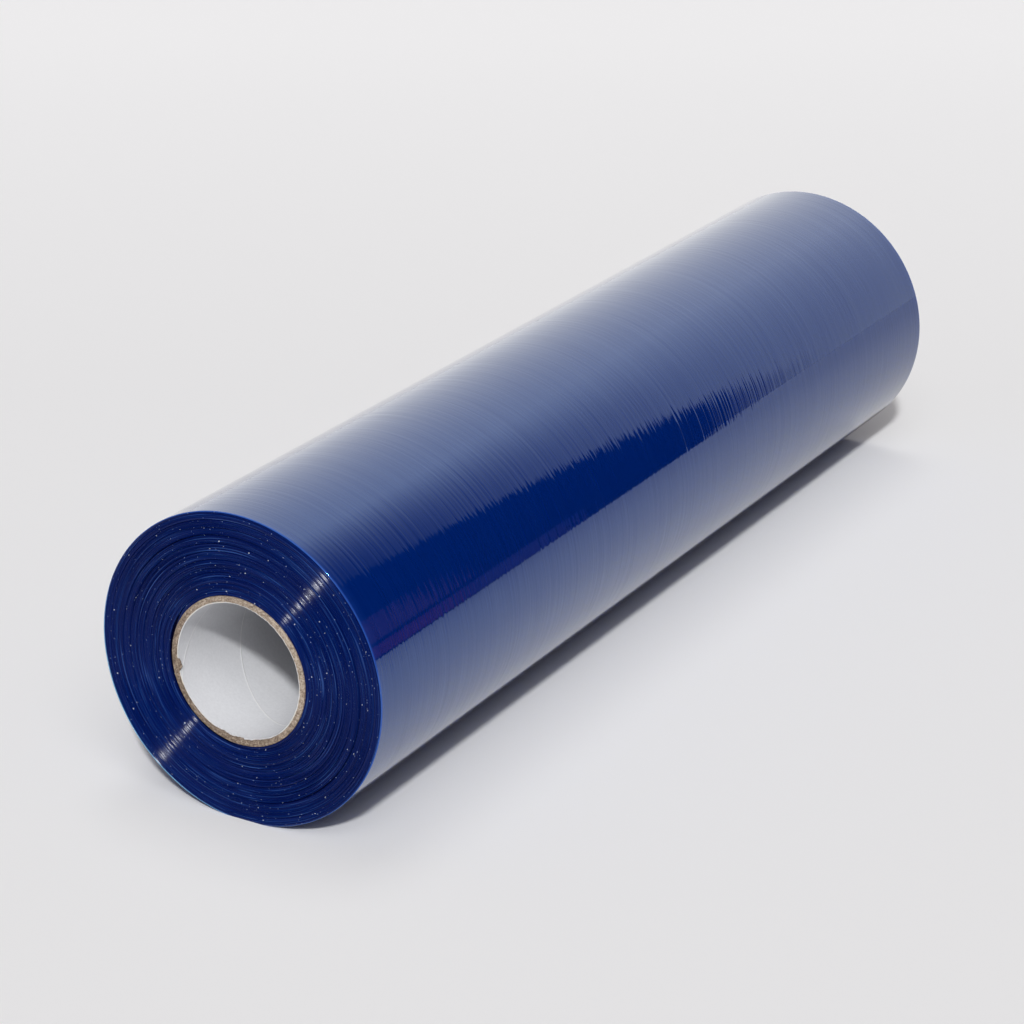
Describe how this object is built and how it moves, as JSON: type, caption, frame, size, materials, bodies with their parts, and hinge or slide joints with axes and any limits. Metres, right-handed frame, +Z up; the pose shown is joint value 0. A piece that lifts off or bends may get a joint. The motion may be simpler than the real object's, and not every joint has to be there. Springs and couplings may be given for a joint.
{
  "type": "protective film roll",
  "caption": "Long roll of glossy blue protective film wound on a cardboard core with a white paper liner, lying on its side on a small flat.",
  "frame": {"origin": "middle of the small flat that the roll lies on", "axes": "+Z up, Y along the roll's axis, with the end whose liner is torn facing -Y, and +X to the right seen from that end"},
  "size_m": [0.115, 0.452, 0.1144],
  "materials": {
    "film": "gloss",
    "board": "matte",
    "liner_paper": "matte"
  },
  "bodies": {
    "root": {"film_roll": "film", "core_tube": "board", "core_liner": "liner_paper"}
  },
  "joints": []
}
